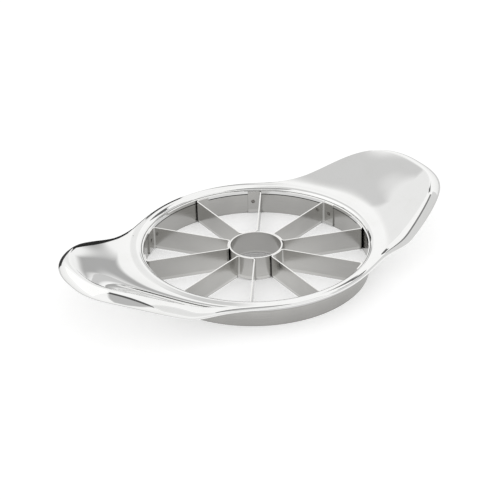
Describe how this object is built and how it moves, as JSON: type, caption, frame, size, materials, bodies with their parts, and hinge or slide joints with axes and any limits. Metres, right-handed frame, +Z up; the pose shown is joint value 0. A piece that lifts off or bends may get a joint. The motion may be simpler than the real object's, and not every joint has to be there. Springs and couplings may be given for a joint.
{
  "type": "apple slicer and wedger",
  "caption": "Hand-pressed apple slicer: a polished ring frame with two rising wing handles holds radial blades and a core cutter inside a steel band.",
  "frame": {"origin": "on the surface that the object stands on, at the centre of the round opening", "axes": "+X along the two wing handles, +Z up along the axis of the opening, +Y across the wings"},
  "size_m": [0.1862, 0.1106, 0.026],
  "materials": {
    "polished_frame": "mirror polished",
    "band_steel": "satin",
    "blade_steel": "satin with ground edges",
    "core_steel": "satin",
    "weld_mark": "dull spot weld"
  },
  "bodies": {
    "root": {"frame": "polished_frame", "blade_band": "band_steel", "core_ring": "core_steel", "blade_pair_1": "blade_steel", "blade_pair_2": "blade_steel", "blade_pair_3": "blade_steel", "blade_pair_4": "blade_steel", "blade_pair_5": "blade_steel", "tab_welds": "weld_mark"}
  },
  "joints": []
}
